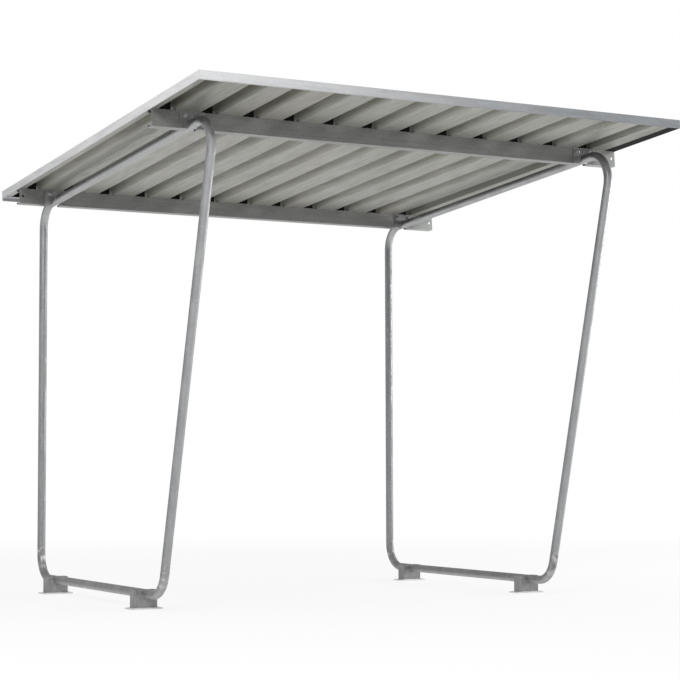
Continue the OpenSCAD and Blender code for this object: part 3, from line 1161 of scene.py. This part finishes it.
def add_rivet(mesh_data, spot, turn=Matrix.Identity(4)):
    """Blind rivet on the roof: low dome with the broken stem's pit in its middle."""
    profile = [(RIVET_RADIUS, 0.0)]
    for step in range(1, RIVET_STEPS):
        angle = math.pi / 2 * step / RIVET_STEPS
        profile.append((RIVET_RADIUS * math.cos(angle), RIVET_HEIGHT * math.sin(angle)))
    profile.append((RIVET_PIT, RIVET_HEIGHT))
    profile.append((RIVET_PIT_FLOOR, RIVET_PIT_LEVEL))
    place = on_slope @ Matrix.Translation(Vector(spot)) @ turn
    add_turned(mesh_data, place, profile, round_outline, BOLT_STEPS)


def front_trim_rivets():
    """Rivets of the front trim, in every second crown."""
    low, high = slope_box("front_trim")
    rivets = bmesh.new()
    for index in range(0, RIB_COUNT, 2):
        add_rivet(rivets, (rib_x(index), low.y + FRONT_RIVET_INSET, high.z))
    add_piece("front_trim_rivets", rivets, BOLT)


def side_trim_rivets():
    """A row of rivets along each side trim."""
    for side, sign in SIDES:
        low, high = slope_box(f"{side}_trim")
        edge = high.x if sign > 0 else low.x
        length = high.y - low.y - 2 * SIDE_RIVET_INSET
        rivets = bmesh.new()
        for index in range(SIDE_RIVETS):
            along = low.y + SIDE_RIVET_INSET + length * index / (SIDE_RIVETS - 1)
            add_rivet(rivets, (edge - sign * (FIRST_RIB + SIDE_RIVET_SHIFT), along, high.z))
        add_piece(f"{side}_trim_rivets", rivets, BOLT)


def drip_trim_rivets():
    """Rivets from below through the drip trim into the pans, between the ribs."""
    low, high = slope_box("rear_drip_trim")
    under = high.z - TRIM_THICKNESS
    flip = Matrix.Rotation(math.pi, 4, "X")
    rivets = bmesh.new()
    for index in range(RIB_COUNT):
        spot = (rib_x(index) + RIB_PITCH / 2, low.y + REAR_RIVET_INSET, under)
        add_rivet(rivets, spot, flip)
    add_piece("rear_drip_trim_rivets", rivets, BOLT)


# ---- Stage, light and camera ----

FLOOR_REACH = 60.0
FLOOR_WHITE = 0.8
FADE_START = 3.0
FADE_END = 9.0
WORLD_LEVEL = 0.8
CAMERA_PLACE = (-4.4826, -8.4455, 0.6834)
CAMERA_YAW = -0.497
CAMERA_PITCH = 0.0647
CAMERA_ROLL = -0.0031
CAMERA_LENS = 99.46
CAMERA_SENSOR = 36.0
CAMERA_FAR = 300.0


def seen_directly(tree, *rays):
    """Whether a ray is of one of the given kinds."""
    path = tree.nodes.new("ShaderNodeLightPath")
    seen = path.outputs[rays[0]]
    for ray in rays[1:]:
        seen = math_node(tree, "MAXIMUM", seen, path.outputs[ray])
    return seen


def floor_paint():
    """Pale matt paint that lens and reflections see as nearly white, and as white far away."""
    material = bpy.data.materials.new("floor_paint")
    material.use_nodes = True
    tree = material.node_tree
    tree.nodes.clear()
    seen = seen_directly(tree, "Is Camera Ray", "Is Glossy Ray", "Is Transmission Ray")
    grain = add_node(tree, "ShaderNodeTexNoise", {"Scale": 8.0, "Detail": 4.0})
    paint = mix_color(tree, grain.outputs["Fac"], tone(0.78, 0.78, 0.77), tone(0.82, 0.82, 0.81))
    matt = add_node(tree, "ShaderNodeBsdfDiffuse", {"Color": paint})
    white = add_node(tree, "ShaderNodeEmission", {"Color": grey(1), "Strength": 1.0})
    place = tree.nodes.new("ShaderNodeTexCoord").outputs["Object"]
    distance = add_node(tree, "ShaderNodeVectorMath", {0: place}, operation="LENGTH")
    away = map_range(
        tree,
        distance.outputs["Value"],
        low=FADE_START,
        high=FADE_END,
        to_low=FLOOR_WHITE,
        to_high=1.0,
    )
    share = times(tree, seen, away)
    shaders = {0: share, 1: matt.outputs[0], 2: white.outputs[0]}
    mixed = add_node(tree, "ShaderNodeMixShader", shaders)
    output = tree.nodes.new("ShaderNodeOutputMaterial")
    tree.links.new(mixed.outputs[0], output.inputs["Surface"])
    return material


def stage_floor():
    """Wide pale floor; to the lens it is white but for the shelter's own soft shadow."""
    reach = FLOOR_REACH
    corners = [(-reach, -reach), (reach, -reach), (reach, reach), (-reach, reach)]
    mesh_data = bmesh.new()
    mesh_data.faces.new([mesh_data.verts.new((x, y, 0.0)) for x, y in corners])
    mesh = bpy.data.meshes.new("floor")
    mesh_data.to_mesh(mesh)
    mesh_data.free()
    floor = bpy.data.objects.new("floor", mesh)
    bpy.context.scene.collection.objects.link(floor)
    mesh.materials.append(floor_paint())


def studio_world():
    """Even soft light; the lens sees plain white."""
    world = bpy.data.worlds.new("studio")
    bpy.context.scene.world = world
    world.use_nodes = True
    tree = world.node_tree
    back = tree.nodes["Background"]
    seen = seen_directly(tree, "Is Camera Ray", "Is Transmission Ray")
    strength = map_range(tree, seen, low=0.0, high=1.0, to_low=WORLD_LEVEL, to_high=1.0)
    back.inputs["Color"].default_value = grey(1)
    tree.links.new(strength, back.inputs["Strength"])


def add_lamp(name, place, aim, size, power):
    """Round area lamp that shines from its place towards its aim."""
    data = bpy.data.lights.new(name, "AREA")
    data.shape = "DISK"
    data.size = size
    data.energy = power
    lamp = bpy.data.objects.new(name, data)
    lamp.location = place
    lamp.rotation_euler = (Vector(aim) - Vector(place)).to_track_quat("-Z", "Y").to_euler()
    bpy.context.scene.collection.objects.link(lamp)


def studio_lamps():
    """A low lamp off the right-hand side and a high one off the front left corner."""
    add_lamp("right_lamp", place=(7.5, -1.5, 2.2), aim=(0, 0, 1.0), size=2.0, power=260)
    add_lamp("left_lamp", place=(-4.5, -5.5, 5.0), aim=(-0.6, -0.6, 1.8), size=2.5, power=240)


def add_camera():
    """Long lens low in front of the left-hand corner, tilted up a little."""
    level = Vector((math.cos(CAMERA_YAW), math.sin(CAMERA_YAW), 0))
    ahead = Vector((-math.sin(CAMERA_YAW), math.cos(CAMERA_YAW), 0))
    rise = Vector((0, 0, 1))
    forward = math.cos(CAMERA_PITCH) * ahead + math.sin(CAMERA_PITCH) * rise
    above = level.cross(forward)
    right = math.cos(CAMERA_ROLL) * level + math.sin(CAMERA_ROLL) * above
    up = -math.sin(CAMERA_ROLL) * level + math.cos(CAMERA_ROLL) * above
    data = bpy.data.cameras.new("camera")
    data.sensor_width = CAMERA_SENSOR
    data.lens = CAMERA_LENS
    data.clip_end = CAMERA_FAR
    camera = bpy.data.objects.new("camera", data)
    turn = Matrix((right, up, -forward)).transposed()
    camera.matrix_world = Matrix.Translation(CAMERA_PLACE) @ turn.to_4x4()
    bpy.context.scene.collection.objects.link(camera)
    bpy.context.scene.camera = camera


finish_frames()
finish_roof()
bracket_bolts()
foot_welds()
bracket_welds()
roof_screws()
lap_screws()
rib_fillers()
edge_strip()
front_trim_rivets()
side_trim_rivets()
drip_trim_rivets()
stage_floor()
studio_world()
studio_lamps()
add_camera()
bpy.context.scene.view_settings.view_transform = "Standard"
